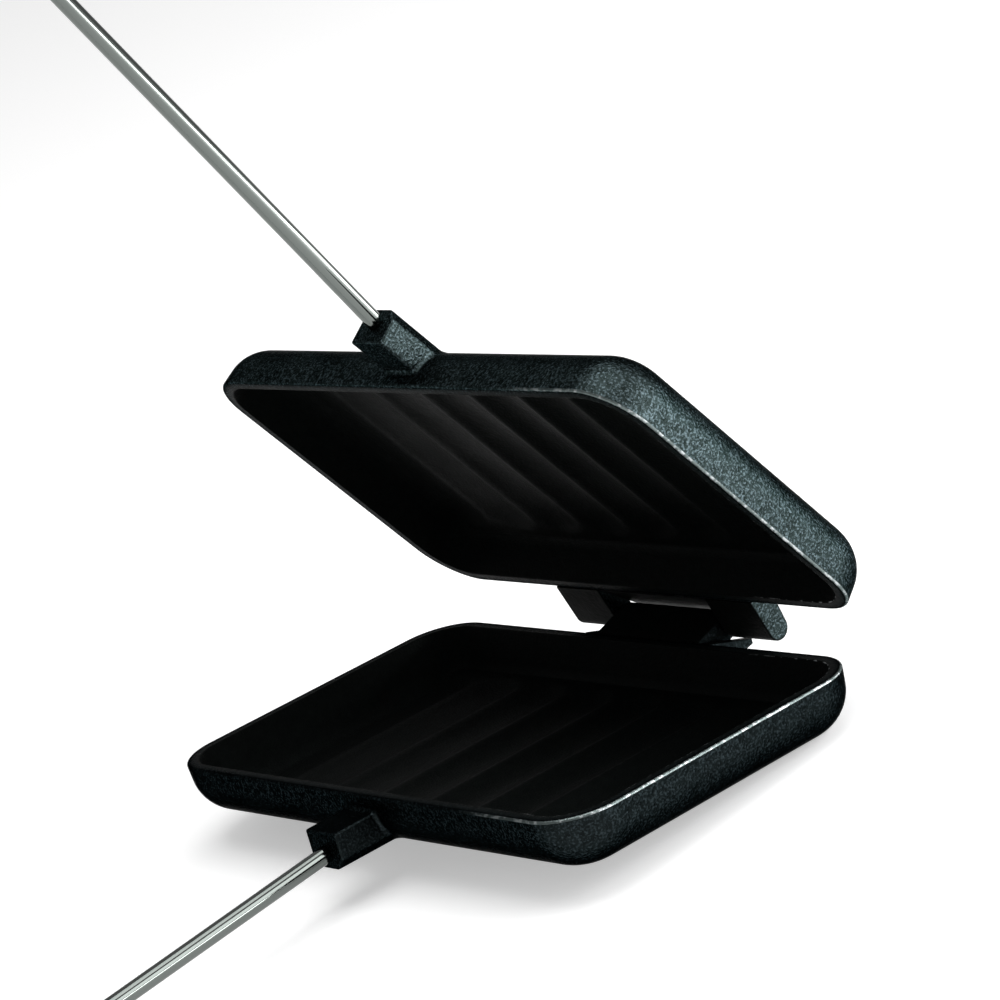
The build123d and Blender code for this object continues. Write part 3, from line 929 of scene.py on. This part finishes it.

# %% [markdown]
# ## Seasoned sand-cast iron
#
# Cast iron takes the texture of the sand it was poured in: grains of well under a millimetre with shallow
# waves across them. It is then oiled and baked until it is black. Outside, the iron still glints through
# that coat, so it is a very dark metal, and dull at a low angle, because soot hides what would mirror
# there. Inside it is mostly a matt film of carbon, drier and blacker, and that black is painted deeper as
# shade there, on the rim land and on hinge faces between the halves. The lower half is painted darker all
# over, as shade. Grain is a bump at the size of the sand, drawn at just under a millimetre because finer
# grains would not show. The edges on the right are rubbed and chipped, and their lighter iron and bright
# chips are also a painted highlight from the light on that side.

# %%
GRAIN_SIZE = 0.9
CLUMP_SIZE = 3.2
WAVE_SIZE = 24.0
GRAIN_HEIGHT = 0.26 * MM
CLUMP_HEIGHT = 0.24 * MM
WAVE_HEIGHT = 0.35 * MM
LIT_SIDE_FROM = 60.0
LIT_SIDE_TO = 118.0
BARE_INSIDE = 0.35
DRIER_INSIDE = 0.2
COAT_DARK = paint("#1e2524")
COAT_LIGHT = paint("#2a3333")
GRAIN_TOP = paint("#525f63")
PAINTED_SHADE_BLACK = paint("#0c0e10")
RUBBED_IRON_AND_HIGHLIGHT = paint("#7c8786")
FILM_AND_SHADE_DARK = paint("#090b0b")
FILM_AND_SHADE_LIGHT = paint("#121514")
BARE_CHIP_AND_GLINT = paint("#c3c8ca")
LOW_ANGLE_TINT = paint("#484848")


def seasoned_cast_iron(name, lower_shade):
    """Oiled iron with the grain of sand, bare where it is knocked, with painted highlight on the right edges
    and painted shade inside; lower_shade is the share from 0 to 1 of black painted over it as shade.
    """
    material, tree = new_material(name)
    own = node(tree, "ShaderNodeAttribute", attribute_name="own_place").outputs["Vector"]
    knocks = node(tree, "ShaderNodeAttribute", attribute_name="knocks").outputs["Fac"]
    shut_in = node(tree, "ShaderNodeAttribute", attribute_name="shut_in").outputs["Fac"]
    grain = node(tree, "ShaderNodeTexNoise", {
        "Vector": own, "Scale": 1 / GRAIN_SIZE, "Detail": 2.0, "Roughness": 0.6,
    }).outputs["Fac"]
    clumps = node(tree, "ShaderNodeTexNoise", {
        "Vector": own, "Scale": 1 / CLUMP_SIZE, "Detail": 3.0, "Roughness": 0.55,
    }).outputs["Fac"]
    waves = node(tree, "ShaderNodeTexNoise", {
        "Vector": own, "Scale": 1 / WAVE_SIZE, "Detail": 1.0,
    }).outputs["Fac"]
    across = node(tree, "ShaderNodeSeparateXYZ", {"Vector": own}).outputs["X"]

    coat = blend_colours(tree, ramp(tree, clumps, 0.35, 0.65), COAT_DARK, COAT_LIGHT)
    coat = blend_colours(tree, ramp(tree, grain, 0.48, 0.66, 0.0, 0.9), coat, GRAIN_TOP)
    # Painted shade: black laid over the whole half by the share lower_shade, to make the lower pan darker.
    coat = blend_colours(tree, lower_shade, coat, PAINTED_SHADE_BLACK)
    # Real edge wear, but painted only on the right where the light falls, so the lighter iron is also a
    # painted highlight.
    lit_side = ramp(tree, across, LIT_SIDE_FROM, LIT_SIDE_TO)
    rubbed_and_highlight = calc(tree, "MULTIPLY", ramp(tree, knocks, 0.4, 0.9, 0.0, 0.8), lit_side)
    coat = blend_colours(tree, rubbed_and_highlight, coat, RUBBED_IRON_AND_HIGHLIGHT)
    # Carbon film inside, painted blacker as shade in the cavity, on the rim land and on hinge faces between
    # the halves.
    film_and_shade = blend_colours(tree, clumps, FILM_AND_SHADE_DARK, FILM_AND_SHADE_LIGHT)
    coat = blend_colours(tree, shut_in, coat, film_and_shade)
    # Bright chips on exposed edges, kept to the lit right side: chips and painted glints along the rim.
    chips = calc(tree, "MULTIPLY", ramp(tree, knocks, 0.55, 1.0), ramp(tree, clumps, 0.5, 0.6))
    colour = blend_colours(tree, calc(tree, "MULTIPLY", chips, lit_side), coat, BARE_CHIP_AND_GLINT)

    gloss = ramp(tree, waves, 0.35, 0.65, 0.32, 0.40)
    gloss = calc(tree, "ADD", gloss, calc(tree, "MULTIPLY", shut_in, DRIER_INSIDE))
    wavy = node(tree, "ShaderNodeBump", {"Height": waves, "Distance": WAVE_HEIGHT})
    clumpy = node(tree, "ShaderNodeBump", {
        "Height": clumps, "Distance": CLUMP_HEIGHT, "Normal": wavy.outputs["Normal"],
    })
    rough = node(tree, "ShaderNodeBump", {
        "Height": grain, "Distance": GRAIN_HEIGHT, "Normal": clumpy.outputs["Normal"],
    })
    surface(tree, {
        "Base Color": colour, "Roughness": gloss, "Normal": rough.outputs["Normal"],
        "Metallic": ramp(tree, shut_in, 0.0, 1.0, 1.0, BARE_INSIDE), "Specular IOR Level": 0.1,
        "Specular Tint": LOW_ANGLE_TINT,
    })
    return material


# %% [markdown]
# ## Chrome plate
#
# The rods are bright chrome on steel rod. Chrome has almost no colour of its own and shows the room, with
# a faint drag from polishing along the bar. The metal stays at full metallic, and only its roughness
# varies.

# %%
DRAG_LENGTH = 30.0
DRAG_WIDTH = 0.8
CHROME = paint("#6c716e")


def chrome_plate():
    """Bright plate whose gloss varies along the bar."""
    material, tree = new_material("polished_chrome_plate")
    own = node(tree, "ShaderNodeAttribute", attribute_name="own_place").outputs["Vector"]
    stretched = node(tree, "ShaderNodeMapping", {
        "Vector": own, "Scale": (1 / DRAG_WIDTH, 1 / DRAG_WIDTH, 1 / DRAG_LENGTH),
    }).outputs["Vector"]
    drag = node(tree, "ShaderNodeTexNoise", {
        "Vector": stretched, "Scale": 1.0, "Detail": 3.0,
    }).outputs["Fac"]
    surface(tree, {
        "Base Color": CHROME, "Metallic": 1.0, "Roughness": ramp(tree, drag, 0.3, 0.7, 0.06, 0.13),
    })
    return material


# %% [markdown]
# ## Drawn steel and cut steel
#
# The ferrules are drawn from sheet and nickelled, with fine rings left by the tool. The pins are cut from
# plain bright bar and have a duller, greyer face. One function makes both, because only colour, roughness
# and the spacing of the rings differ.

# %%
RING_HEIGHT = 0.03 * MM
SMUDGE_SCALE = 0.25


def worked_steel(name, colour, roughness, ring_spacing):
    """Bright steel with tool rings at a spacing in millimetres, and smudges that change its gloss."""
    material, tree = new_material(name)
    own = node(tree, "ShaderNodeAttribute", attribute_name="own_place").outputs["Vector"]
    along = node(tree, "ShaderNodeMapping", {
        "Vector": own, "Scale": (0.02, 0.02, 1 / ring_spacing),
    }).outputs["Vector"]
    rings = node(tree, "ShaderNodeTexNoise", {"Vector": along, "Scale": 1.0, "Detail": 2.0}).outputs["Fac"]
    smudges = node(tree, "ShaderNodeTexNoise", {
        "Vector": own, "Scale": SMUDGE_SCALE, "Detail": 3.0,
    }).outputs["Fac"]
    bump = node(tree, "ShaderNodeBump", {"Height": rings, "Distance": RING_HEIGHT})
    surface(tree, {
        "Base Color": paint(colour), "Metallic": 1.0, "Normal": bump.outputs["Normal"],
        "Roughness": ramp(tree, smudges, 0.3, 0.7, roughness - 0.05, roughness + 0.08),
    })
    return material


# %% [markdown]
# ## Turned hardwood
#
# The grips are a close-grained hardwood such as beech, turned, sanded and oiled. Its growth rings are
# long narrow cones about an axis beside the grip, so they show as stretched ovals on the belly. Short
# dark flecks lie along the grain, and the oil leaves a soft sheen.

# %%
RING_WIDTH = 2.6
FLECK_LENGTH = 6.0
FLECK_WIDTH = 0.45
FLECK_DEPTH = 0.04 * MM
EARLY_WOOD = paint("#b98552")
LATE_WOOD = paint("#94602f")
FLECK_BROWN = paint("#5f3a1c")


def oiled_beech():
    """Hardwood with stretched growth rings, short dark flecks and a thin coat of oil."""
    material, tree = new_material("oiled_turned_beech")
    own = node(tree, "ShaderNodeAttribute", attribute_name="own_place").outputs["Vector"]
    bent = node(tree, "ShaderNodeTexNoise", {"Vector": own, "Scale": 0.03, "Detail": 2.0}).outputs["Color"]
    warped = node(tree, "ShaderNodeVectorMath", {0: bent, 1: (14.0, 14.0, 4.0)}, operation="MULTIPLY_ADD")
    tree.links.new(own, warped.inputs[2])
    tilted = node(tree, "ShaderNodeMapping", {
        "Vector": warped.outputs["Vector"], "Location": (31.0, 12.0, 0.0), "Rotation": (0.05, 0.09, 0.0),
    }).outputs["Vector"]
    rings = node(tree, "ShaderNodeTexWave", {
        "Vector": tilted, "Scale": 0.314 / RING_WIDTH, "Distortion": 1.2, "Detail": 2.0, "Detail Scale": 0.4,
    }, wave_type="RINGS", rings_direction="Z", wave_profile="SAW").outputs["Fac"]
    thin = node(tree, "ShaderNodeMapping", {
        "Vector": own, "Scale": (1 / FLECK_WIDTH, 1 / FLECK_WIDTH, 1 / FLECK_LENGTH),
    }).outputs["Vector"]
    flecks = node(tree, "ShaderNodeTexNoise", {"Vector": thin, "Scale": 1.0, "Detail": 2.0}).outputs["Fac"]
    colour = blend_colours(tree, rings, EARLY_WOOD, LATE_WOOD)
    colour = blend_colours(tree, ramp(tree, flecks, 0.56, 0.7, 0.0, 0.6), colour, FLECK_BROWN)
    bump = node(tree, "ShaderNodeBump", {"Height": flecks, "Distance": FLECK_DEPTH})
    surface(tree, {
        "Base Color": colour, "Roughness": ramp(tree, rings, 0.0, 1.0, 0.42, 0.52),
        "Normal": bump.outputs["Normal"], "Coat Weight": 0.25, "Coat Roughness": 0.3,
    })
    return material


# Share of black painted over the lower half as shade.
LOWER_HALF_SHADE = 0.7

finishes = {
    "upper cast_iron": seasoned_cast_iron("seasoned_sand_cast_iron", 0.0),
    "lower cast_iron": seasoned_cast_iron("shade_darkened_sand_cast_iron", LOWER_HALF_SHADE),
    "chrome": chrome_plate(),
    "ferrule_steel": worked_steel("nickelled_drawn_steel", "#b7b4ac", 0.24, 0.25),
    "pin_steel": worked_steel("bright_cut_steel", "#8f8f8c", 0.38, 0.4),
    "wood": oiled_beech(),
}
for piece, half, slot in pieces:
    piece.data.materials.append(finishes.get(slot) or finishes[f"{half} {slot}"])
print(len(pieces), "pieces dressed")

# %% [markdown]
# ## Studio
#
# The iron lies on a wide white floor. One large soft lamp stands to the right and behind, so that it
# draws a bright stripe along the rods, and its shadow falls to the front. A low strip on the floor there
# catches the grain of the walls that face right. A lamp overhead evens the floor, and the room is dim, so
# that dark iron stays dark. The floor gets a little light of its own for the camera and for reflections,
# and keeps its shadow.

# %%
FLOOR_SIZE = 40.0
FLOOR_LIFT = 0.40
ROOM_LIGHT = 0.32


def floor_white():
    """A matt white that adds a little light of its own where the camera or a reflection sees it."""
    material, tree = new_material("white_studio_floor")
    path = node(tree, "ShaderNodeLightPath")
    seen = calc(tree, "MAXIMUM", path.outputs["Is Camera Ray"], path.outputs["Is Glossy Ray"])
    seen = calc(tree, "MAXIMUM", seen, path.outputs["Is Transmission Ray"])
    surface(tree, {
        "Base Color": paint("#f6f6f6"), "Roughness": 0.9, "Specular IOR Level": 0.1,
        "Emission Color": (1, 1, 1, 1), "Emission Strength": calc(tree, "MULTIPLY", seen, FLOOR_LIFT),
    })
    return material


floor_bm = bmesh.new()
bmesh.ops.create_grid(floor_bm, x_segments=1, y_segments=1, size=FLOOR_SIZE / 2)
floor = object_of(floor_bm, "studio_floor")
floor.data.materials.append(floor_white())

world = bpy.data.worlds.new("dim_room")
world.use_nodes = True
world.node_tree.nodes["Background"].inputs["Color"].default_value = (1, 1, 1, 1)
world.node_tree.nodes["Background"].inputs["Strength"].default_value = ROOM_LIGHT
bpy.context.scene.world = world


def soft_lamp(name, at, aim, width, height, glow):
    """A rectangular soft lamp that looks at a point, as bright to look at as this many white walls."""
    light = bpy.data.lights.new(name, "AREA")
    light.shape = "RECTANGLE"
    light.size = width
    light.size_y = height
    light.energy = glow * pi * width * height
    lamp = bpy.data.objects.new(name, light)
    bpy.context.scene.collection.objects.link(lamp)
    lamp.visible_camera = False
    look = (Vector(aim) - Vector(at)).to_track_quat("-Z", "Y").to_matrix().to_4x4()
    lamp.matrix_world = Matrix.Translation(at) @ look


soft_lamp("large_right_lamp", (1.15, 1.15, 0.85), (0.05, 0.2, 0.05), width=1.3, height=0.9, glow=3.9)
soft_lamp("low_strip_lamp", (0.72, 0.80, 0.10), (0.1, 0.25, 0.12), width=1.2, height=0.12, glow=12.0)
soft_lamp("overhead_lamp", (0.2, 0.5, 2.0), (0.1, 0.3, 0.0), width=1.6, height=1.6, glow=3.0)
print("lamps:", [light.name for light in bpy.data.lights])
